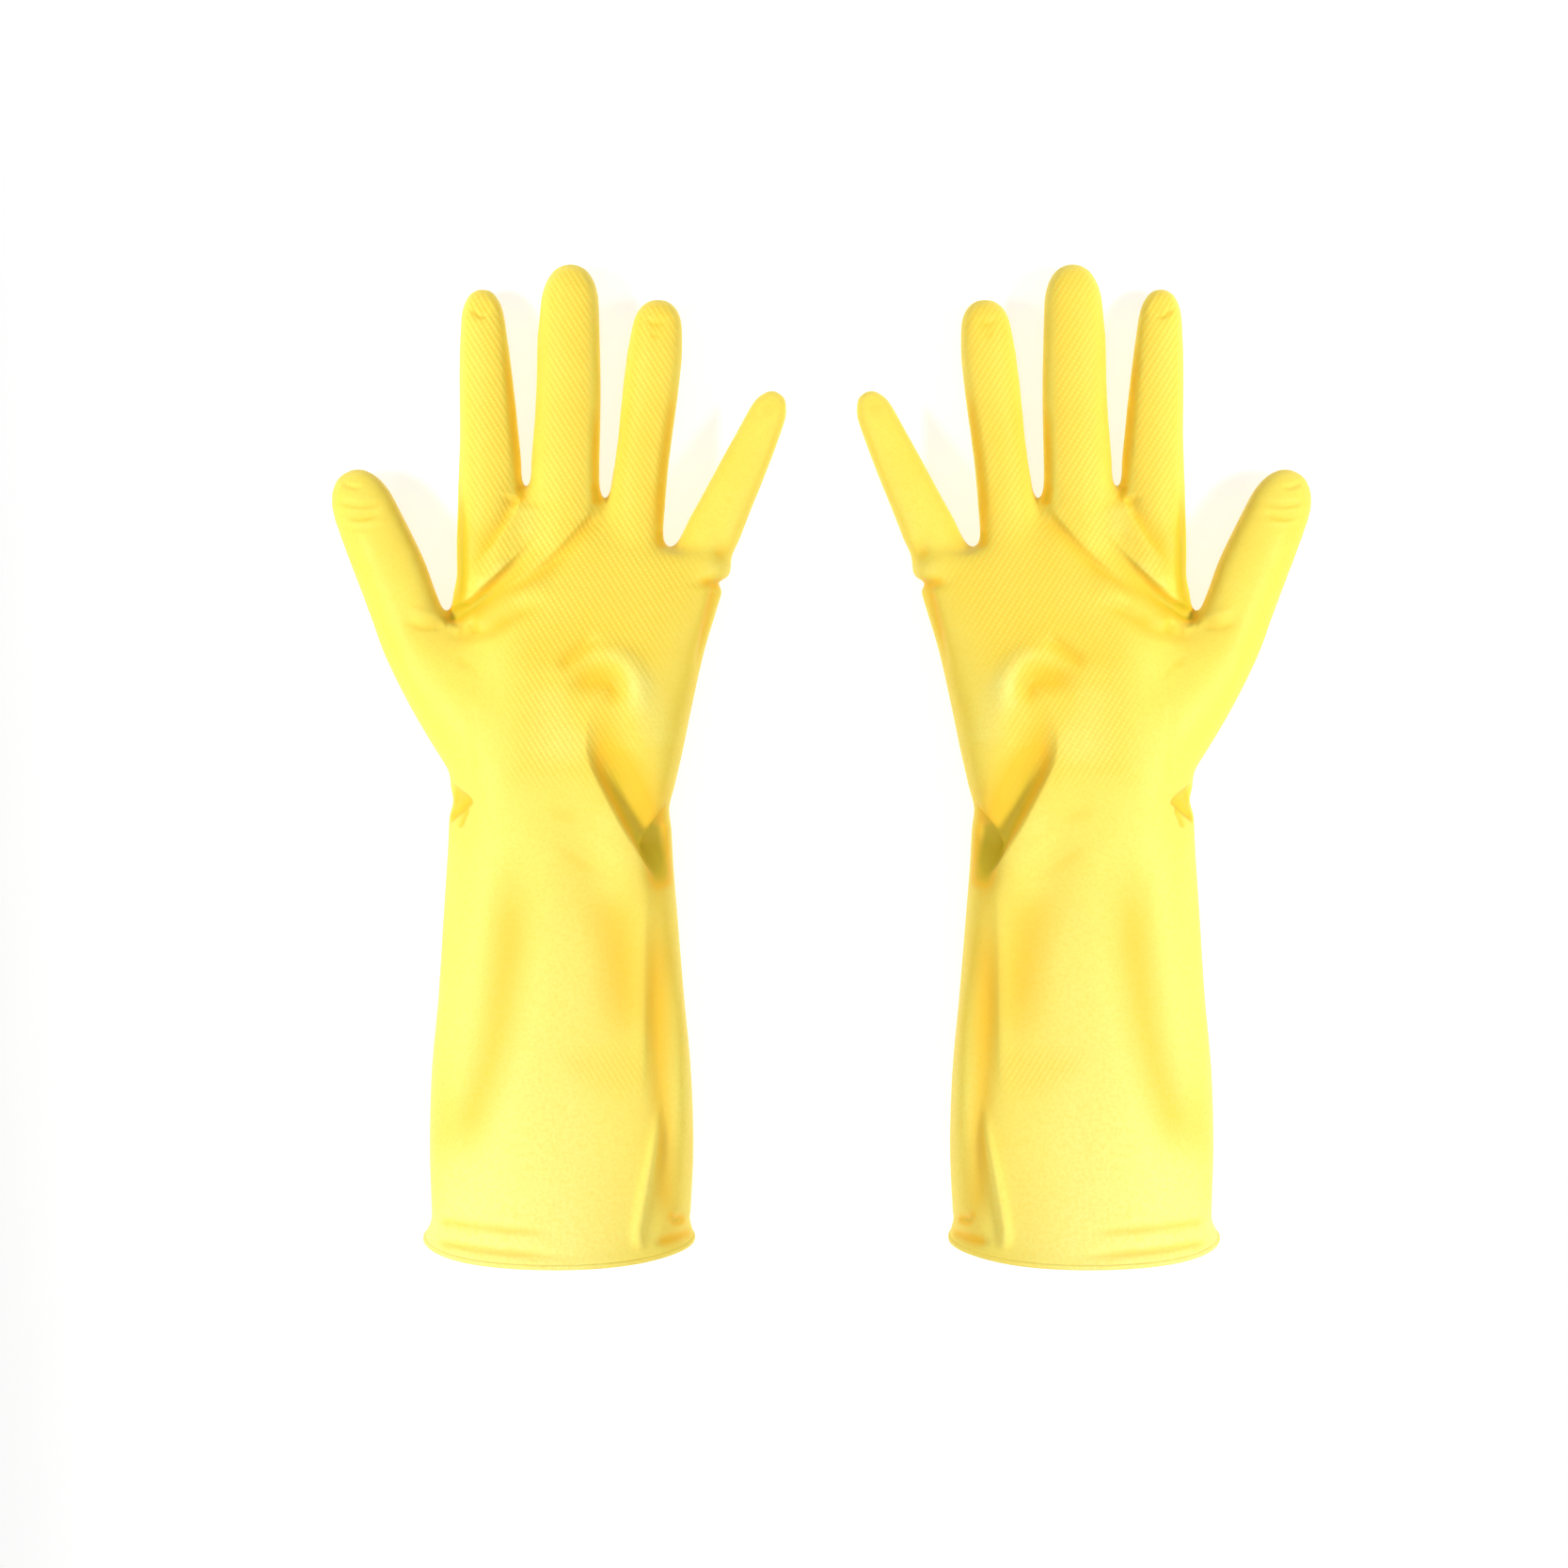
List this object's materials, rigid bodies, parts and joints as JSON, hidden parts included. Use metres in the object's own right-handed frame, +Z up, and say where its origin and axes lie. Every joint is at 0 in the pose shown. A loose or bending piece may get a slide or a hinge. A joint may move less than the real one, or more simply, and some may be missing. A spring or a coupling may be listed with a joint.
{
  "type": "rubber gloves",
  "caption": "Pair of household rubber gloves: flock-lined latex shells with gripping palms, long gauntlets and rolled cuff beads, lying palm up, with bending wrists and curling digits.",
  "frame": {"origin": "centre of the pair's footprint, on the surface that the backs of the gloves rest on", "axes": "+X from the left-hand glove to the right-hand glove, across the pair's mirror plane; +Y from the cuffs to the fingertips; +Z up, out of the palms"},
  "size_m": [0.316, 0.3208, 0.055],
  "materials": {
    "latex": "bright yellow dipped latex, satin, with a fine embossed diamond grip",
    "flock": "pale yellow cotton flock, matt"
  },
  "bodies": {
    "left_palm": {"left_palm": "latex", "left_palm_lining": "flock"},
    "left_gauntlet": {"left_gauntlet": "latex", "left_gauntlet_lining": "flock", "left_cuff_bead": "latex"},
    "left_thumb": {"left_thumb_base": "latex", "left_thumb_base_lining": "flock"},
    "left_thumb_tip": {"left_thumb_tip": "latex", "left_thumb_tip_lining": "flock"},
    "left_index": {"left_index_base": "latex", "left_index_base_lining": "flock"},
    "left_index_tip": {"left_index_tip": "latex", "left_index_tip_lining": "flock"},
    "left_middle": {"left_middle_base": "latex", "left_middle_base_lining": "flock"},
    "left_middle_tip": {"left_middle_tip": "latex", "left_middle_tip_lining": "flock"},
    "left_ring": {"left_ring_base": "latex", "left_ring_base_lining": "flock"},
    "left_ring_tip": {"left_ring_tip": "latex", "left_ring_tip_lining": "flock"},
    "left_little": {"left_little_base": "latex", "left_little_base_lining": "flock"},
    "left_little_tip": {"left_little_tip": "latex", "left_little_tip_lining": "flock"},
    "right_palm": {"right_palm": "latex", "right_palm_lining": "flock"},
    "right_gauntlet": {"right_gauntlet": "latex", "right_gauntlet_lining": "flock", "right_cuff_bead": "latex"},
    "right_thumb": {"right_thumb_base": "latex", "right_thumb_base_lining": "flock"},
    "right_thumb_tip": {"right_thumb_tip": "latex", "right_thumb_tip_lining": "flock"},
    "right_index": {"right_index_base": "latex", "right_index_base_lining": "flock"},
    "right_index_tip": {"right_index_tip": "latex", "right_index_tip_lining": "flock"},
    "right_middle": {"right_middle_base": "latex", "right_middle_base_lining": "flock"},
    "right_middle_tip": {"right_middle_tip": "latex", "right_middle_tip_lining": "flock"},
    "right_ring": {"right_ring_base": "latex", "right_ring_base_lining": "flock"},
    "right_ring_tip": {"right_ring_tip": "latex", "right_ring_tip_lining": "flock"},
    "right_little": {"right_little_base": "latex", "right_little_base_lining": "flock"},
    "right_little_tip": {"right_little_tip": "latex", "right_little_tip_lining": "flock"}
  },
  "joints": [
    {"name": "pair_spread", "type": "slide", "parent": "left_palm", "child": "right_palm", "axis": [1, 0, 0], "range_m": [0, 0.12]},
    {"name": "left_wrist_bend", "type": "hinge", "parent": "left_palm", "child": "left_gauntlet", "pos_m": [-0.08365, -0.014, 0.0413], "axis": [-1, 0, 0], "range_deg": [0, 45], "stiffness_Nm_per_rad": 0.1},
    {"name": "left_thumb_curl", "type": "hinge", "parent": "left_palm", "child": "left_thumb", "pos_m": [-0.13188, 0.04764, 0.02841], "axis": [0.919, 0.3944, 0], "range_deg": [0, 45], "stiffness_Nm_per_rad": 0.02},
    {"name": "left_thumb_tip_curl", "type": "hinge", "parent": "left_thumb", "child": "left_thumb_tip", "pos_m": [-0.14123, 0.06943, 0.02456], "axis": [0.919, 0.3944, 0], "range_deg": [0, 45], "stiffness_Nm_per_rad": 0.01},
    {"name": "left_index_curl", "type": "hinge", "parent": "left_palm", "child": "left_index", "pos_m": [-0.10585, 0.08971, 0.02544], "axis": [0.9991, 0.0421, 0], "range_deg": [0, 60], "stiffness_Nm_per_rad": 0.02},
    {"name": "left_index_tip_curl", "type": "hinge", "parent": "left_index", "child": "left_index_tip", "pos_m": [-0.10701, 0.11742, 0.02148], "axis": [0.9991, 0.0421, 0], "range_deg": [0, 60], "stiffness_Nm_per_rad": 0.01},
    {"name": "left_middle_curl", "type": "hinge", "parent": "left_palm", "child": "left_middle", "pos_m": [-0.08208, 0.0898, 0.02616], "axis": [0.9998, -0.0182, 0], "range_deg": [0, 60], "stiffness_Nm_per_rad": 0.02},
    {"name": "left_middle_tip_curl", "type": "hinge", "parent": "left_middle", "child": "left_middle_tip", "pos_m": [-0.08152, 0.12064, 0.02291], "axis": [0.9998, -0.0182, 0], "range_deg": [0, 60], "stiffness_Nm_per_rad": 0.01},
    {"name": "left_ring_curl", "type": "hinge", "parent": "left_palm", "child": "left_ring", "pos_m": [-0.05979, 0.08354, 0.02496], "axis": [0.9937, -0.1121, 0], "range_deg": [0, 60], "stiffness_Nm_per_rad": 0.02},
    {"name": "left_ring_tip_curl", "type": "hinge", "parent": "left_ring", "child": "left_ring_tip", "pos_m": [-0.05668, 0.11118, 0.02174], "axis": [0.9937, -0.1121, 0], "range_deg": [0, 60], "stiffness_Nm_per_rad": 0.01},
    {"name": "left_little_curl", "type": "hinge", "parent": "left_palm", "child": "left_little", "pos_m": [-0.03622, 0.07207, 0.02302], "axis": [0.9122, -0.4097, 0], "range_deg": [0, 60], "stiffness_Nm_per_rad": 0.02},
    {"name": "left_little_tip_curl", "type": "hinge", "parent": "left_little", "child": "left_little_tip", "pos_m": [-0.02692, 0.09277, 0.01918], "axis": [0.9122, -0.4097, 0], "range_deg": [0, 60], "stiffness_Nm_per_rad": 0.01},
    {"name": "right_wrist_bend", "type": "hinge", "parent": "right_palm", "child": "right_gauntlet", "pos_m": [0.08365, -0.014, 0.0413], "axis": [-1, 0, 0], "range_deg": [0, 45], "stiffness_Nm_per_rad": 0.1},
    {"name": "right_thumb_curl", "type": "hinge", "parent": "right_palm", "child": "right_thumb", "pos_m": [0.13188, 0.04764, 0.02841], "axis": [0.919, -0.3944, 0], "range_deg": [0, 45], "stiffness_Nm_per_rad": 0.02},
    {"name": "right_thumb_tip_curl", "type": "hinge", "parent": "right_thumb", "child": "right_thumb_tip", "pos_m": [0.14123, 0.06943, 0.02456], "axis": [0.919, -0.3944, 0], "range_deg": [0, 45], "stiffness_Nm_per_rad": 0.01},
    {"name": "right_index_curl", "type": "hinge", "parent": "right_palm", "child": "right_index", "pos_m": [0.10585, 0.08971, 0.02544], "axis": [0.9991, -0.0421, 0], "range_deg": [0, 60], "stiffness_Nm_per_rad": 0.02},
    {"name": "right_index_tip_curl", "type": "hinge", "parent": "right_index", "child": "right_index_tip", "pos_m": [0.10701, 0.11742, 0.02148], "axis": [0.9991, -0.0421, 0], "range_deg": [0, 60], "stiffness_Nm_per_rad": 0.01},
    {"name": "right_middle_curl", "type": "hinge", "parent": "right_palm", "child": "right_middle", "pos_m": [0.08208, 0.0898, 0.02616], "axis": [0.9998, 0.0182, 0], "range_deg": [0, 60], "stiffness_Nm_per_rad": 0.02},
    {"name": "right_middle_tip_curl", "type": "hinge", "parent": "right_middle", "child": "right_middle_tip", "pos_m": [0.08152, 0.12064, 0.02291], "axis": [0.9998, 0.0182, 0], "range_deg": [0, 60], "stiffness_Nm_per_rad": 0.01},
    {"name": "right_ring_curl", "type": "hinge", "parent": "right_palm", "child": "right_ring", "pos_m": [0.05979, 0.08354, 0.02496], "axis": [0.9937, 0.1121, 0], "range_deg": [0, 60], "stiffness_Nm_per_rad": 0.02},
    {"name": "right_ring_tip_curl", "type": "hinge", "parent": "right_ring", "child": "right_ring_tip", "pos_m": [0.05668, 0.11118, 0.02174], "axis": [0.9937, 0.1121, 0], "range_deg": [0, 60], "stiffness_Nm_per_rad": 0.01},
    {"name": "right_little_curl", "type": "hinge", "parent": "right_palm", "child": "right_little", "pos_m": [0.03622, 0.07207, 0.02302], "axis": [0.9122, 0.4097, 0], "range_deg": [0, 60], "stiffness_Nm_per_rad": 0.02},
    {"name": "right_little_tip_curl", "type": "hinge", "parent": "right_little", "child": "right_little_tip", "pos_m": [0.02692, 0.09277, 0.01918], "axis": [0.9122, 0.4097, 0], "range_deg": [0, 60], "stiffness_Nm_per_rad": 0.01}
  ]
}
